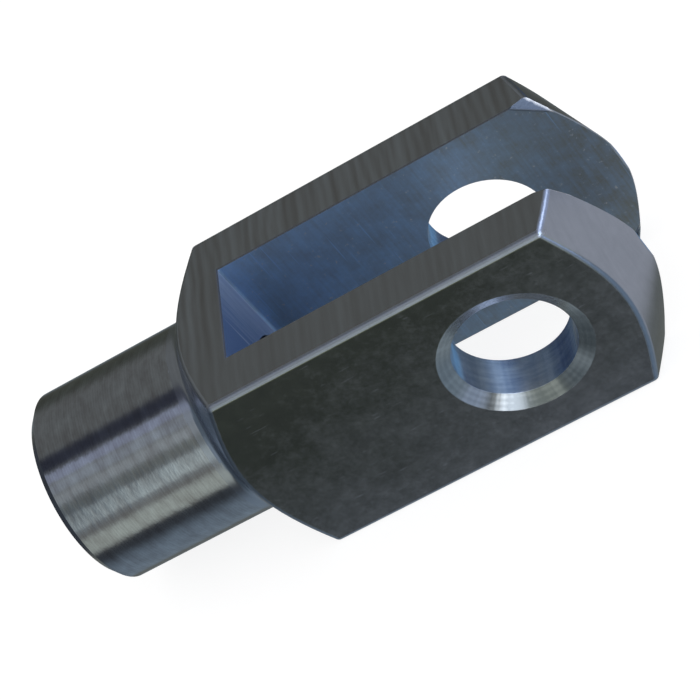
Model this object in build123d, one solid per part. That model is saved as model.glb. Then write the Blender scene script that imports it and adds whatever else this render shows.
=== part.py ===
from build123d import *
import math
import os

# Fork head (clevis rod end), size 14 x 28, for a 14 mm pin and an M14 rod.
# It is one piece of square cold-drawn steel bar. A lathe turns the neck and the two 30 degree cones,
# a side cutter mills the slot, and both cheeks are drilled and countersunk in line.
#
# Frame, in millimetres: the origin is the middle of the pin bore. +X runs along the rod towards the
# open end of the fork, +Y runs along the pin, and the slot is open at the top (+Z) and the bottom.

# Square bar
bar_width = 27.0
bar_edge_radius = 0.7

# Lengths along the rod, from the pin axis
pin_to_neck_end = 56.0
pin_to_slot_floor = 28.0
pin_to_fork_corner = 10.4
pin_to_fork_tip = 17.0

# Turned neck and cones
neck_length = 21.0
neck_diameter = 24.0
neck_end_chamfer = 1.0
neck_root_radius = 1.2
cone_angle = 30.0
cone_edge_radius = 0.75

# Slot, with broken edges, the cutter's radius along its floor and a filed lead-in at each mouth corner
slot_width = 14.4
slot_corner_radius = 0.4
slot_edge_break = 0.15
lead_in_depth = 0.6
lead_in_length = 2.4
lead_in_height = 3.4

# Pin bore through both cheeks
pin_bore_diameter = 14.0
countersink_diameter = 17.4
countersink_angle = 120.0

# Threaded hole from the neck end to the slot floor, at the nominal diameter of its M14 thread
thread_diameter = 14.0
thread_mouth_chamfer = 0.8

half_bar = bar_width / 2
corner_reach = math.hypot(half_bar, half_bar)
cone_slope = math.tan(math.radians(cone_angle))
overrun = 5.0


def fork_cone_x(distance_from_axis):
    """How far along X the cone at the fork end lies at a given distance from the rod's axis."""
    return pin_to_fork_corner + (corner_reach - distance_from_axis) * cone_slope


def turned_blank():
    """The neck, the shoulder cone and the fork-end cone, turned about the rod's axis."""
    neck_radius = neck_diameter / 2
    shoulder_x = neck_length - pin_to_neck_end
    outer_radius = corner_reach + overrun
    tip_radius = corner_reach - (pin_to_fork_tip - pin_to_fork_corner) / cone_slope
    outline = [
        (-pin_to_neck_end, 0),
        (-pin_to_neck_end, neck_radius),
        (shoulder_x, neck_radius),
        (shoulder_x + (outer_radius - neck_radius) * cone_slope, outer_radius),
        (fork_cone_x(outer_radius), outer_radius),
        (pin_to_fork_tip, tip_radius),
        (pin_to_fork_tip, 0),
    ]
    profile = make_face(Polyline(*outline, close=True))
    neck_rim = profile.vertices().sort_by_distance((-pin_to_neck_end, neck_radius))[0]
    profile = chamfer(neck_rim, neck_end_chamfer)
    neck_root = profile.vertices().sort_by_distance((shoulder_x, neck_radius))[0]
    profile = fillet(neck_root, neck_root_radius)
    return revolve(profile, Axis.X)


def square_bar():
    """The drawn bar, with its long edges rounded."""
    length = 2 * (pin_to_neck_end + pin_to_fork_tip)
    bar = Box(length, bar_width, bar_width)
    return fillet(bar.edges().filter_by(Axis.X), bar_edge_radius)


def head_blank():
    """The turned bar, with the edges deburred where the cones run out into its flats."""
    blank = turned_blank() & square_bar()
    cone_edges = ShapeList()
    for cone in blank.faces().filter_by(GeomType.CONE):
        if cone.center().X > -pin_to_neck_end + neck_end_chamfer:
            cone_edges += [e for e in cone.edges() if e.geom_type != GeomType.CIRCLE]
    return fillet(cone_edges, cone_edge_radius)


def slot_cutter():
    """The slot, from its flat floor out through the open end of the fork."""
    length = pin_to_slot_floor + pin_to_fork_tip + overrun
    return Pos(X=-pin_to_slot_floor) * Box(
        length, slot_width, bar_width + overrun, align=(Align.MIN, Align.CENTER, Align.CENTER)
    )


def is_at(value, target):
    """Whether a coordinate lies on a plane, within 0.01 mm."""
    return abs(value - target) < 0.01


def slot_floor_corners(fork):
    """The two edges, parallel to Z, where the slot's floor meets the cheeks."""
    return [
        edge
        for edge in fork.edges().filter_by(Axis.Z)
        if is_at(edge.center().X, -pin_to_slot_floor) and is_at(abs(edge.center().Y), slot_width / 2)
    ]


def break_slot_edges(fork):
    """Chamfers the slot's rim, but not its floor corners."""
    rim = ShapeList()
    for wall in fork.faces().filter_by(GeomType.PLANE):
        middle = wall.center()
        on_cheek = is_at(abs(middle.Y), slot_width / 2)
        on_floor = is_at(middle.X, -pin_to_slot_floor)
        if on_cheek or on_floor:
            rim += wall.edges()
    corners = slot_floor_corners(fork)
    return chamfer([edge for edge in rim if edge not in corners], slot_edge_break)


def round_slot_corners(fork):
    """Leaves the side cutter's radius down the slot's floor corners."""
    return fillet(slot_floor_corners(fork), slot_corner_radius)


def mouth_lead_ins():
    """Four flats that open the corners of the slot's mouth, as a file leaves them."""
    corner_x = fork_cone_x(math.hypot(slot_width / 2, half_bar))
    low_z = half_bar - lead_in_height
    low_x = fork_cone_x(math.hypot(slot_width / 2, low_z))
    along_slot = Vector(corner_x - lead_in_length, slot_width / 2, half_bar)
    down_mouth = Vector(low_x, slot_width / 2, low_z)
    corner = Vector(corner_x, slot_width / 2 + lead_in_depth, half_bar)
    towards_slot = (down_mouth - along_slot).cross(corner - along_slot)
    if towards_slot.Y > 0:
        towards_slot = -towards_slot
    flat = Plane(origin=corner, x_dir=down_mouth - along_slot, z_dir=towards_slot)
    reach = 2 * (lead_in_length + lead_in_height)
    cutter = flat * Box(reach, reach, slot_width / 4, align=(Align.CENTER, Align.CENTER, Align.MIN))
    upper = cutter + mirror(cutter, Plane.XZ)
    return upper + mirror(upper, Plane.XY)


def pin_bore_cutters():
    """The bore through both cheeks and its countersinks in their outer faces."""
    along_pin = Plane.XZ
    bore = along_pin * Cylinder(pin_bore_diameter / 2, bar_width + overrun)
    depth = (countersink_diameter - pin_bore_diameter) / 2 / math.tan(math.radians(countersink_angle / 2))
    widening = overrun * math.tan(math.radians(countersink_angle / 2))
    near = Plane.XZ.offset(half_bar - depth) * Cone(
        pin_bore_diameter / 2,
        countersink_diameter / 2 + widening,
        depth + overrun,
        align=(Align.CENTER, Align.CENTER, Align.MIN),
    )
    return bore + near + mirror(near, Plane.XZ)


def threaded_hole_cutter():
    """The hole for the rod, chamfered at the neck end and open into the slot."""
    radius = thread_diameter / 2
    outline = [
        (-pin_to_neck_end - overrun, 0),
        (-pin_to_neck_end - overrun, radius + thread_mouth_chamfer + overrun),
        (-pin_to_neck_end + thread_mouth_chamfer, radius),
        (-pin_to_slot_floor + slot_corner_radius, radius),
        (-pin_to_slot_floor + slot_corner_radius, 0),
    ]
    return revolve(make_face(Polyline(*outline, close=True)), Axis.X)


def fork_head():
    fork = round_slot_corners(break_slot_edges(head_blank() - slot_cutter()))
    return fork - mouth_lead_ins() - pin_bore_cutters() - threaded_hole_cutter()


os.makedirs("parts", exist_ok=True)
export_step(fork_head(), "parts/fork_head.step")
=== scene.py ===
import bpy
import bmesh
import math
from mathutils import Matrix, Vector


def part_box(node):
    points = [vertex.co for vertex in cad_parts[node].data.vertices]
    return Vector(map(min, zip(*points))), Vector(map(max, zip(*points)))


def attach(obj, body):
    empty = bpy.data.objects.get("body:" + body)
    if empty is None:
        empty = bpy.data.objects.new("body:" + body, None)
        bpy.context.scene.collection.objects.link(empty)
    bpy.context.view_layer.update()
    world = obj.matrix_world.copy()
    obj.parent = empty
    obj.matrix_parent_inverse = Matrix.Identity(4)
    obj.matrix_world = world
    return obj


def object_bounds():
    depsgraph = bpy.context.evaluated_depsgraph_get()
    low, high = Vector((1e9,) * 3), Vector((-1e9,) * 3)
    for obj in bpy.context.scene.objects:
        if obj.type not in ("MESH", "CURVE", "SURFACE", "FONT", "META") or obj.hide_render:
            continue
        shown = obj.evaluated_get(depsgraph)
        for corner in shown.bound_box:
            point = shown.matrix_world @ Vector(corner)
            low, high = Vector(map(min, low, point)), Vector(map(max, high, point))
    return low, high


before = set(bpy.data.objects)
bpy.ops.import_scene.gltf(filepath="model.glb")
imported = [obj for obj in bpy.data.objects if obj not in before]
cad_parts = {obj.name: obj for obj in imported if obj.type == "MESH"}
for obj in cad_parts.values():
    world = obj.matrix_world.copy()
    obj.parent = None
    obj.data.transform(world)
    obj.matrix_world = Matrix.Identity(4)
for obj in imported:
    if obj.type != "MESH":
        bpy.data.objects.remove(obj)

cad_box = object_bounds()

# ---------------------------------------------------------------------------------------------
# Fork head
# One machined piece of square cold-drawn steel bar: turned neck and cones, milled slot, drilled
# and countersunk cheeks. Bright zinc with a blue passivation lies thinly over all the tool marks,
# so it looks like dark bluish chrome with the grain of each cut showing through.

millimetre = 0.001          # sizes are in millimetres until they meet Blender

lowest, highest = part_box("fork_head")
half_bar = highest.y / millimetre
bar_edge_radius = 0.7
cone_angle = math.radians(30)
cone_corner = 10.4          # where the open end's cone meets the bar's corners
neck_radius = 12.0
neck_chamfer = 1.0
neck_end = lowest.x / millimetre
neck_foot = -36.5           # just short of the neck's root, where its turning marks stop
slot_floor = -28.0
half_slot = 7.2
slot_edge_break = 0.15
pin_bore_radius = 7.0
countersink_radius = 8.7
mouth_radius = 7.8          # the threaded hole's chamfered mouth
lead_in_depth = 0.6
lead_in_length = 2.4
lead_in_height = 3.4


def end_cone_x(y, z):
    """How far along the rod the open end's cone lies, at a place across the rod."""
    return cone_corner + (math.hypot(half_bar, half_bar) - math.hypot(y, z)) * math.tan(cone_angle)


def srgb(code):
    """Turns an sRGB hex colour into a linear RGBA colour."""
    parts = [int(code[i:i + 2], 16) / 255 for i in (1, 3, 5)]
    return [c / 12.92 if c <= 0.04045 else ((c + 0.055) / 1.055) ** 2.4 for c in parts] + [1.0]


def add_node(tree, kind, settings=None, inputs=None):
    """Adds one shader node, with its settings, its sockets' values and the links into it."""
    node = tree.nodes.new("ShaderNode" + kind)
    for name, value in (settings or {}).items():
        setattr(node, name, value)
    for name, value in (inputs or {}).items():
        if isinstance(value, bpy.types.NodeSocket):
            tree.links.new(value, node.inputs[name])
        else:
            node.inputs[name].default_value = value
    return node


# Zinc, electroplated bright and passivated blue: it mirrors the studio nearly as chrome does, with
# a cold tint, and blurs it where the cut underneath is rough.
zinc = bpy.data.materials.new("bright_zinc_plated_steel")
zinc.use_nodes = True
tree = zinc.node_tree
tree.nodes.clear()

# Each tool mark, and the painted light on some zones, is placed by X, Y and Z, by its distance from the
# middle, from the rod's axis or from the pin's axis, or by how far out it is along the way that a filed
# lead-in faces.
place = add_node(tree, "TexCoord").outputs["Object"]
at = add_node(tree, "VectorMath", {"operation": "SCALE"}, {0: place, "Scale": 1 / millimetre}).outputs[0]
x, y, z = add_node(tree, "SeparateXYZ", None, {0: at}).outputs
off_middle = add_node(tree, "Math", {"operation": "ABSOLUTE"}, {0: y}).outputs[0]
off_level = add_node(tree, "Math", {"operation": "ABSOLUTE"}, {0: z}).outputs[0]

across_rod = add_node(tree, "VectorMath", {"operation": "MULTIPLY"}, {0: at, 1: (0, 1, 1)}).outputs[0]
from_rod = add_node(tree, "VectorMath", {"operation": "LENGTH"}, {0: across_rod}).outputs["Value"]
across_pin = add_node(tree, "VectorMath", {"operation": "MULTIPLY"}, {0: at, 1: (1, 0, 1)}).outputs[0]
from_pin = add_node(tree, "VectorMath", {"operation": "LENGTH"}, {0: across_pin}).outputs["Value"]
out_from_pin = add_node(tree, "VectorMath", {"operation": "NORMALIZE"}, {0: across_pin}).outputs[0]
round_pin = add_node(tree, "VectorMath", {"operation": "SCALE"}, {
    0: out_from_pin, "Scale": pin_bore_radius,
}).outputs[0]

# The lead-ins at the slot's four corners are one plane, once X, Y and Z have lost their signs.
lead_in_end = end_cone_x(half_slot, half_bar)
lead_in_foot = half_bar - lead_in_height
lead_in_start = Vector((lead_in_end - lead_in_length, half_slot, half_bar))
lead_in_corner = Vector((lead_in_end, half_slot + lead_in_depth, half_bar))
lead_in_low = Vector((end_cone_x(half_slot, lead_in_foot), half_slot, lead_in_foot))
lead_in_face = (lead_in_low - lead_in_start).cross(lead_in_corner - lead_in_start).normalized()
lead_in_level = lead_in_face.dot(lead_in_start)
unsigned = add_node(tree, "VectorMath", {"operation": "ABSOLUTE"}, {0: at}).outputs[0]
out_of_lead_in = add_node(tree, "VectorMath", {"operation": "DOT_PRODUCT"}, {
    0: unsigned, 1: lead_in_face,
}).outputs["Value"]

# Each zone is what one cut left, held between the limits that follow each measure. The lathe went
# first, so what no later zone takes is its cones. A zone reaches a little past its own surface.
skin = 0.01
margin = 0.05
beyond = 60.0               # farther than the part reaches
zones = {}
for name, limits in {
    "cones": ((from_rod, 0, beyond),),
    "neck": ((x, -beyond, neck_foot), (from_rod, neck_radius - neck_chamfer, beyond)),
    "neck end": (
        (x, -beyond, neck_end + skin),
        (from_rod, mouth_radius + skin, neck_radius - neck_chamfer),
    ),
    "thread": ((x, -beyond, slot_floor - skin), (from_rod, 0, mouth_radius + skin)),
    "flats": ((off_level, half_bar - skin, beyond),),
    "sides": ((off_middle, half_bar - skin, beyond),),
    "slot": ((x, slot_floor - skin, beyond), (off_middle, 0, half_slot + margin)),
    "slot floor": ((x, slot_floor - skin, slot_floor + 3 * skin), (off_middle, 0, half_slot + margin)),
    "slot rim": (
        (x, slot_floor - slot_edge_break - margin, beyond),
        (off_middle, 0, half_slot + slot_edge_break + margin),
        (off_level, half_bar - slot_edge_break - skin, half_bar - skin),
    ),
    "bar edge": (
        (off_middle, half_bar - bar_edge_radius, half_bar - skin),
        (off_level, half_bar - bar_edge_radius, half_bar - skin),
    ),
    "lead-in": (
        (x, lead_in_start.x - margin, beyond),
        (out_of_lead_in, lead_in_level - margin, lead_in_level + margin),
    ),
    "countersink": (
        (from_pin, pin_bore_radius + skin, countersink_radius + skin),
        (off_middle, half_slot + margin, half_bar - skin),
    ),
    "bore": (
        (from_pin, 0, pin_bore_radius + skin),
        (off_middle, half_slot + margin, half_bar - skin),
    ),
}.items():
    mask = 1.0
    for measure, low, high in limits:
        within = add_node(tree, "Math", {"operation": "COMPARE"}, {
            0: measure, 1: (low + high) / 2, 2: (high - low) / 2,
        }).outputs[0]
        mask = add_node(tree, "Math", {"operation": "MULTIPLY"}, {0: mask, 1: within}).outputs[0]
    zones[name] = mask

# The grain of each cut is noise, drawn out along the way that the tool ran. Its widths are along
# X, Y and Z. A real cutter leaves grooves about 0.1 mm wide, which are too fine to show, so those
# that are turned, milled, scratched or drilled are drawn about four times as wide.
grain = {}
for name, where, widths, detail, rough in (
    ("turned", at, (0.385, 6.25, 6.25), 3, 0.6),
    ("smeared", at, (1.25, 2.78, 2.78), 3, 0.6),
    ("drawn", at, (1.43, 50, 50), 2, 0.6),
    ("milled", at, (0.385, 0.385, 8.33), 3, 0.65),
    ("scratched", at, (0.357, 0.357, 11.1), 0, 0.5),
    ("scuffed", at, (2, 2, 0.222), 0, 0.5),
    ("chattered", round_pin, (1.4, 1.4, 1.4), 2, 0.6),
    ("drilled", at, (4, 0.417, 4), 3, 0.6),
    ("cloudy", at, (11.1, 11.1, 11.1), 2, 0.5),
    ("mottled", at, (2.22, 2.22, 2.22), 3, 0.65),
    ("speckled", at, (0.526, 0.526, 0.526), 3, 0.7),
):
    stretched = add_node(tree, "VectorMath", {"operation": "MULTIPLY"}, {
        0: where, 1: [1 / width for width in widths],
    }).outputs[0]
    grain[name] = add_node(tree, "TexNoise", None, {
        "Vector": stretched, "Scale": 1.0, "Detail": detail, "Roughness": rough,
    }).outputs["Fac"]

# Waves, by their pitch: the feed along the neck, over its faced end and down the countersinks, and
# the chatter of the die that the bar was drawn through. Real feeds of 0.1 to 0.2 mm are too fine to
# show, so they are drawn coarser. The chatter drifts, so that its bands aren't even.
feed = 0.34
facing_feed = 0.5
sinking_feed = 0.6
die_chatter = 1.3
drift = 2.2
drifting = add_node(tree, "Math", {"operation": "MULTIPLY_ADD"}, {
    0: grain["cloudy"], 1: drift, 2: x,
}).outputs[0]
waves = {}
for name, along, pitch in (
    ("feed", x, feed), ("faced", from_rod, facing_feed), ("sunk", from_pin, sinking_feed),
    ("die", drifting, die_chatter),
):
    phase = add_node(tree, "Math", {"operation": "MULTIPLY"}, {0: along, 1: 2 * math.pi / pitch}).outputs[0]
    waves[name] = add_node(tree, "Math", {"operation": "SINE"}, {0: phase}).outputs[0]

# The drawn grain, swinging either way round nothing, joins the bands. Both are worn on one cheek.
drawn_swing = 8.0
worn_from, worn_to = -9.0, 1.0
left_where_worn = 0.35
drawn = add_node(tree, "Math", {"operation": "MULTIPLY_ADD"}, {
    0: grain["drawn"], 1: drawn_swing, 2: -drawn_swing / 2,
}).outputs[0]
banded = add_node(tree, "Math", {"operation": "ADD"}, {0: waves["die"], 1: drawn}).outputs[0]
worn = add_node(tree, "MapRange", {"interpolation_type": "SMOOTHSTEP"}, {
    "Value": y, "From Min": worn_from, "From Max": worn_to, "To Min": left_where_worn, "To Max": 1.0,
}).outputs[0]
waves["bands"] = add_node(tree, "Math", {"operation": "MULTIPLY"}, {0: banded, 1: worn}).outputs[0]

# Scratches, scuffs and specks show only where their grain peaks, between these two heights.
peaks = {}
for name, start, full in (("scratched", 0.76, 0.82), ("scuffed", 0.78, 0.84), ("speckled", 0.65, 0.71)):
    peaks[name] = add_node(tree, "MapRange", None, {
        "Value": grain[name], "From Min": start, "From Max": full,
    }).outputs[0]
zones["slot specks"] = add_node(tree, "Math", {"operation": "MULTIPLY"}, {
    0: zones["slot"], 1: peaks["speckled"],
}).outputs[0]

# Each zone runs from a dark to a bright tone. The share of the bright one starts from a number, and
# each mark or place adds its value times its weight. What a place adds is painted light and shade.
# A Mix node's inputs 6 and 7 are its colours, and 2 and 3 its numbers.
colour = srgb("#b4bccb")
for name, dark, bright, start, marks in (
    ("cones", "#a4acba", "#c4ccdc", 0.0, (
        (grain["turned"], 0.5), (grain["mottled"], 0.5),
    )),
    ("neck", "#8c8c94", "#ccd6e4", -0.28, (
        (grain["turned"], 0.45), (grain["smeared"], 1.1), (waves["feed"], 0.04),
    )),
    ("neck end", "#949cac", "#ccd4e2", -0.1, (
        (waves["faced"], 0.2), (grain["mottled"], 1.1),
    )),
    # The slot is drawn lighter and bluer towards its floor and greyer towards the open end: painted light
    # that lifts the shade deep in the slot.
    ("slot", "#787e7f", "#88abd4", -0.44, (
        (x, -0.013), (grain["milled"], 0.55), (grain["mottled"], 0.8), (grain["speckled"], 0.3),
        (peaks["scratched"], 0.6),
    )),
    ("slot specks", "#9ca2a8", "#b0b6bc", 0.0, (
        (grain["mottled"], 1.0),
    )),
    # The slot's floor is drawn lighter towards the far cheek: painted light, brightest along the far
    # corner.
    ("slot floor", "#6c86b4", "#c8d8ec", -0.41, (
        (y, 0.085), (grain["milled"], 0.9), (peaks["scratched"], 0.5),
    )),
    # The slot's edge break is drawn dark: painted shade along the slot's edges.
    ("slot rim", "#5c6068", "#747880", 0.0, (
        (grain["turned"], 0.5),
    )),
    # The lead-ins are drawn dark near the slot and lighten towards their outer corners: a painted
    # highlight.
    ("lead-in", "#5c6674", "#ffffff", -35.3, (
        (x, 1.66), (from_rod, 0.96), (grain["speckled"], 0.7),
    )),
    # The sides are drawn darker towards the top and towards the neck: painted light and shade.
    ("sides", "#8c938c", "#e6eaf6", -0.45, (
        (z, -0.03), (x, 0.006), (grain["cloudy"], 0.5), (grain["mottled"], 0.6),
        (grain["speckled"], 0.6), (peaks["scuffed"], 0.4),
    )),
    ("flats", "#86878a", "#b2bcc8", 0.25, (
        (waves["bands"], 0.14), (grain["turned"], 0.35),
    )),
    # The countersink's tone changes round its ring, darkest at the bottom and lighter towards the open end:
    # painted light and shade.
    ("countersink", "#7c8286", "#dee2e4", 0.0, (
        (x, 0.015), (z, 0.04), (off_level, -0.03), (grain["chattered"], 0.9), (grain["mottled"], 0.35),
        (waves["sunk"], 0.05),
    )),
    ("bore", "#8896ae", "#e6eaec", -0.75, (
        (grain["drilled"], 0.8), (grain["chattered"], 1.0), (grain["mottled"], 0.6),
    )),
    ("thread", "#8c94a4", "#a4acbc", 0.0, (
        (grain["drilled"], 1.0),
    )),
):
    share = start
    for mark, weight in marks:
        share = add_node(tree, "Math", {"operation": "MULTIPLY_ADD"}, {
            0: mark, 1: weight, 2: share,
        }).outputs[0]
    tone = add_node(tree, "Mix", {"data_type": "RGBA"}, {
        "Factor": share, 6: srgb(dark), 7: srgb(bright),
    }).outputs[2]
    colour = add_node(tree, "Mix", {"data_type": "RGBA"}, {
        "Factor": zones[name], 6: colour, 7: tone,
    }).outputs[2]

# Turning and drilling leave the plating smooth, and milling and deburring leave it hazy.
roughness = 0.16
for name, rough in (
    ("neck", 0.08), ("bar edge", 0.3), ("sides", 0.16), ("flats", 0.18), ("slot", 0.34),
    ("countersink", 0.14), ("bore", 0.16), ("thread", 0.26),
):
    roughness = add_node(tree, "Mix", None, {"Factor": zones[name], 2: roughness, 3: rough}).outputs[0]
# The blue film is blotchy, and thickest in the slot, where it veils the metal.
film_haze = 0.09
roughness = add_node(tree, "Math", {"operation": "MULTIPLY_ADD"}, {
    0: grain["mottled"], 1: film_haze, 2: roughness,
}).outputs[0]
metallic = 1.0
for name, metal in (("slot", 0.66), ("countersink", 0.97), ("bore", 0.97)):
    metallic = add_node(tree, "Mix", None, {"Factor": zones[name], 2: metallic, 3: metal}).outputs[0]

# The depth of the marks that can be felt, in millimetres.
height = 0.0
for name, mark, depth in (
    ("neck", grain["turned"], 0.002),
    ("neck", grain["smeared"], 0.022),
    ("neck end", waves["faced"], 0.0012),
    ("slot", grain["milled"], 0.006),
    ("lead-in", grain["speckled"], 0.01),
    ("countersink", grain["chattered"], 0.02),
    ("bore", grain["drilled"], 0.006),
):
    cut = add_node(tree, "Math", {"operation": "MULTIPLY"}, {0: mark, 1: depth}).outputs[0]
    height = add_node(tree, "Math", {"operation": "MULTIPLY_ADD"}, {
        0: cut, 1: zones[name], 2: height,
    }).outputs[0]
bump = add_node(tree, "Bump", None, {"Height": height, "Distance": millimetre, "Strength": 1.0})

shader = add_node(tree, "BsdfPrincipled", None, {
    "Base Color": colour, "Metallic": metallic, "Roughness": roughness, "Normal": bump.outputs[0],
})
add_node(tree, "OutputMaterial", None, {"Surface": shader.outputs["BSDF"]})
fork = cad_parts["fork_head"]
fork.data.materials.clear()
fork.data.materials.append(zinc)

# ---------------------------------------------------------------------------------------------
# Rod thread
# The M14 x 2 thread tapped through the neck, from its chamfered mouth to the slot. It is cut in
# the fork head itself and plated with it. The solid's plain hole has its outside diameter.

hole_radius = 7.0
groove_radius = 6.96        # a little inside the hole, so that the hole's wall stays behind it
ridge_radius = 5.918        # half of the thread's inside diameter
thread_pitch = 2.0
groove_flat = thread_pitch / 8
flank_run = thread_pitch * 5 / 16
steps_round = 64
rows_per_turn = 16
turns_before = 1.7          # before the neck's end, which sets where the thread breaks into the slot
turns = round((slot_floor - neck_end) / thread_pitch) + 3    # and both ends are cut off
start_x = neck_end - turns_before * thread_pitch
hair = 1e-6                 # in metres: points nearer than this are the same

thread_bm = bmesh.new()
rings = []
for step in range(turns * steps_round + 1):
    angle = 2 * math.pi * step / steps_round
    ring = []
    for row in range(rows_per_turn):
        along = thread_pitch * row / rows_per_turn
        ridge = min(max((along - groove_flat) / flank_run, 0.0), 1.0, (thread_pitch - along) / flank_run)
        spot_x = start_x + thread_pitch * step / steps_round + along
        mouth_here = mouth_radius + neck_end - spot_x       # the chamfer is at 45 degrees
        radius = max(groove_radius + (ridge_radius - groove_radius) * ridge, mouth_here)
        spot = Vector((spot_x, radius * math.cos(angle), radius * math.sin(angle)))
        ring.append(thread_bm.verts.new(spot * millimetre))
    rings.append(ring)

for step, (ring, after) in enumerate(zip(rings, rings[1:])):
    for row in range(rows_per_turn - 1):
        thread_bm.faces.new((ring[row], ring[row + 1], after[row + 1], after[row]))
    if step + steps_round + 1 < len(rings):
        next_turn, next_after = rings[step + steps_round][0], rings[step + steps_round + 1][0]
        thread_bm.faces.new((ring[-1], next_turn, next_after, after[-1]))

# It is cut off where the mouth's chamfer meets the hole, and at the slot's floor, where a flat lip
# closes it against the hole's edge.
chamfer_end = neck_end + mouth_radius - hole_radius
for cut_x, keep_side in ((chamfer_end, 1), (slot_floor, -1)):
    bmesh.ops.bisect_plane(
        thread_bm, geom=thread_bm.verts[:] + thread_bm.edges[:] + thread_bm.faces[:],
        plane_co=(cut_x * millimetre, 0, 0), plane_no=(keep_side, 0, 0), clear_inner=True, dist=hair,
    )
lip = [
    edge for edge in thread_bm.edges
    if edge.is_boundary and all(abs(vert.co.x - slot_floor * millimetre) < hair for vert in edge.verts)
]
for made in bmesh.ops.extrude_edge_only(thread_bm, edges=lip)["geom"]:
    if isinstance(made, bmesh.types.BMVert):
        outward = Vector((0, made.co.y, made.co.z)).normalized()
        made.co = (outward * hole_radius + Vector((slot_floor, 0, 0))) * millimetre
bmesh.ops.remove_doubles(thread_bm, verts=thread_bm.verts[:], dist=hair)
bmesh.ops.recalc_face_normals(thread_bm, faces=thread_bm.faces[:])

thread_mesh = bpy.data.meshes.new("rod_thread")
thread_bm.to_mesh(thread_mesh)
thread_bm.free()
thread_mesh.materials.append(zinc)
rod_thread = bpy.data.objects.new("rod_thread", thread_mesh)
bpy.context.collection.objects.link(rod_thread)
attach(rod_thread, "root")

# ---------------------------------------------------------------------------------------------
# Floor
# A light table of matt opal acrylic, which the fork head lies on with its slot upright. It glows
# from below, so the shadow stays faint. The steel shows the studio, and not the table.

floor_reach = 3.0           # metres
floor_mesh = bpy.data.meshes.new("floor")
floor_corners = [(a * floor_reach, b * floor_reach, 0) for a, b in ((-1, -1), (1, -1), (1, 1), (-1, 1))]
floor_mesh.from_pydata(floor_corners, [], [(0, 1, 2, 3)])
floor = bpy.data.objects.new("floor", floor_mesh)
bpy.context.collection.objects.link(floor)
floor.location.z = cad_box[0].z
floor.visible_glossy = False
opal = bpy.data.materials.new("matt_opal_acrylic")
opal.use_nodes = True
acrylic = opal.node_tree.nodes["Principled BSDF"]
acrylic.inputs["Base Color"].default_value = srgb("#808080")
acrylic.inputs["Roughness"].default_value = 0.9
acrylic.inputs["Specular IOR Level"].default_value = 0.0
acrylic.inputs["Emission Color"].default_value = srgb("#ffffff")
acrylic.inputs["Emission Strength"].default_value = 0.85
floor_mesh.materials.append(opal)

# ---------------------------------------------------------------------------------------------
# Light
# A dim studio for the steel to reflect, of long lamps and cards that run along the rod, and then
# round ones. Only what is glossy sees it, and an even white sky lights the rest.

world = bpy.data.worlds.new("studio")
bpy.context.scene.world = world
world.use_nodes = True
sky = world.node_tree
sky.nodes.clear()
aim = add_node(sky, "TexCoord").outputs["Generated"]
flattened = add_node(sky, "VectorMath", {"operation": "MULTIPLY"}, {0: aim, 1: (0, 1, 1)}).outputs[0]
across = add_node(sky, "VectorMath", {"operation": "NORMALIZE"}, {0: flattened}).outputs[0]


def round_rod(degrees):
    """The direction at an angle round the rod, from +Y up over +Z."""
    return Vector((0, math.cos(math.radians(degrees)), math.sin(math.radians(degrees))))


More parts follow.
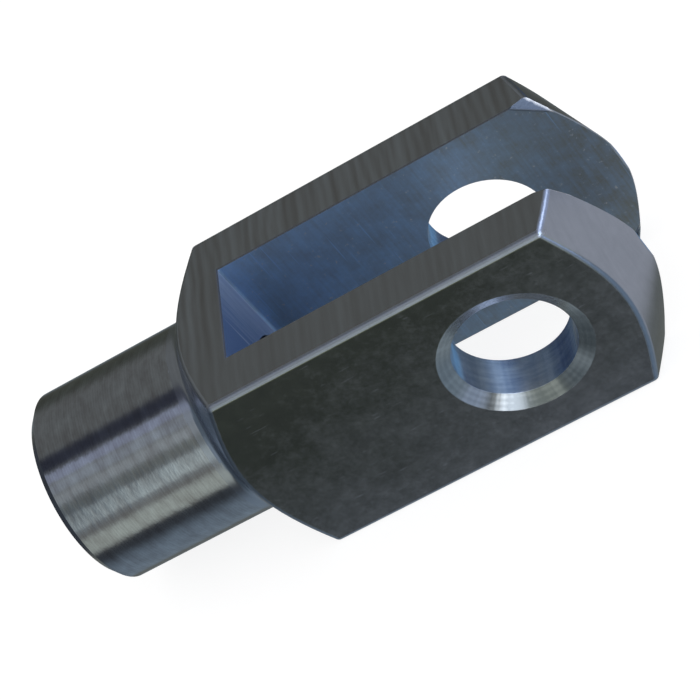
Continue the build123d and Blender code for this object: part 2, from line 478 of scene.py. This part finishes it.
# Each one is seen across the rod or from anywhere, in a direction, full within its first angle and
# gone by its second, in degrees. Later ones lie in front.
light = srgb("#74746f")
for seen, direction, full, gone, glow, strength in (
    (across, round_rod(352), 8, 38, "#4c4e46", 1.0),
    (across, round_rod(158), 49, 57, "#92938d", 1.0),
    (across, round_rod(111), 3, 7, "#a6aab8", 1.0),
    (across, round_rod(124), 2, 7, "#a4a8aa", 1.0),
    (across, round_rod(137), 3, 7, "#aaaca8", 1.0),
    (across, round_rod(95), 2, 13, "#363842", 1.0),
    (across, round_rod(150.5), 1, 7, "#86877d", 1.0),
    (across, round_rod(167.5), 6, 12, "#d4dad0", 1.0),
    (across, round_rod(187), 1, 6, "#88867e", 1.0),
    (across, round_rod(201), 4, 15, "#c0c3b4", 1.0),
    (across, round_rod(233), 15, 20, "#44474a", 1.0),
    (across, round_rod(272), 12, 48, "#828e96", 1.0),
    (across, round_rod(303), 6, 20, "#6c6e68", 1.0),
    (aim, (0.85, 0.15, -0.30), 25, 50, "#b2b2b4", 1.0),
    (aim, (0.45, -0.60, -0.66), 8, 34, "#7c8c9a", 1.0),
    (aim, (-0.83, -0.52, 0.18), 26, 38, "#626c72", 1.0),
    (aim, (-0.68, -0.73, 0.03), 6, 20, "#929ca2", 1.0),
    (aim, (-0.85, -0.24, -0.46), 14, 26, "#4a545a", 1.0),
    (aim, (-0.35, 0.72, -0.60), 10, 24, "#6c7478", 1.0),
    (aim, (-0.95, 0.25, -0.20), 20, 34, "#40444a", 1.0),
    (aim, (0.64, 0.74, -0.18), 17, 28, "#4a5a74", 1.0),
    (aim, (0.28, 0.71, -0.63), 6, 14, "#6894bc", 1.0),
    (aim, (0.66, -0.34, 0.67), 15, 27, "#d4e0f4", 2.6),
    (aim, (0.58, -0.72, 0.38), 8, 20, "#d8e8ff", 3.8),
    (aim, (0.66, 0.42, 0.62), 8, 40, "#c0cce8", 0.9),
    (aim, (0.66, 0.30, 0.69), 2, 18, "#dce8ff", 2.2),
    (aim, (0.13, -0.985, -0.11), 6, 13, "#dfe8ff", 1.6),
    (aim, (0.25, -0.952, 0.15), 5, 13, "#f4f8ff", 3.6),
    (aim, (0.51, -0.82, -0.27), 5, 14, "#c0d0ec", 1.0),
):
    spread = add_node(sky, "VectorMath", {"operation": "DOT_PRODUCT"}, {
        0: seen, 1: Vector(direction).normalized(),
    }).outputs["Value"]
    share = add_node(sky, "MapRange", {"interpolation_type": "SMOOTHSTEP"}, {
        "Value": spread,
        "From Min": math.cos(math.radians(gone)),
        "From Max": math.cos(math.radians(full)),
    }).outputs[0]
    light = add_node(sky, "Mix", {"data_type": "RGBA"}, {
        "Factor": share, 6: light, 7: [part * strength for part in srgb(glow)],
    }).outputs[2]

studio = add_node(sky, "Background", None, {"Color": light, "Strength": 1.0}).outputs[0]
open_sky = add_node(sky, "Background", None, {"Color": srgb("#ffffff"), "Strength": 1.0}).outputs[0]
is_glossy = add_node(sky, "LightPath").outputs["Is Glossy Ray"]
seen_by_each = add_node(sky, "MixShader", None, {0: is_glossy, 1: open_sky, 2: studio}).outputs[0]
add_node(sky, "OutputWorld", None, {"Surface": seen_by_each})
bpy.context.scene.view_settings.view_transform = "Standard"

# ---------------------------------------------------------------------------------------------
# Camera
# A long lens 0.3 m from the fork head, above one cheek and a little towards the open end. It is
# rolled until the rod rises from the lower left, and moved until the part fills the square frame.

azimuth, elevation, roll = (math.radians(degrees) for degrees in (22.9, 38.56, -42.69))
sideways, upwards, distance = -16.43, -8.91, 302.44
sensor_width = 36.0
lens = 140.164
nearest_seen = 10.0

back = Vector((
    math.sin(azimuth) * math.cos(elevation), -math.cos(azimuth) * math.cos(elevation), math.sin(elevation),
))
level = Vector((0, 0, 1)).cross(back).normalized()
upright = back.cross(level)
right = math.cos(roll) * level + math.sin(roll) * upright
up = -math.sin(roll) * level + math.cos(roll) * upright
facing = Matrix((right, up, back)).transposed()
camera = bpy.data.objects.new("camera", bpy.data.cameras.new("camera"))
bpy.context.collection.objects.link(camera)
camera.data.sensor_width = sensor_width
camera.data.lens = lens
camera.data.clip_start = nearest_seen * millimetre
camera.location = facing @ Vector((sideways, upwards, distance)) * millimetre
camera.rotation_euler = facing.to_euler()
bpy.context.scene.camera = camera
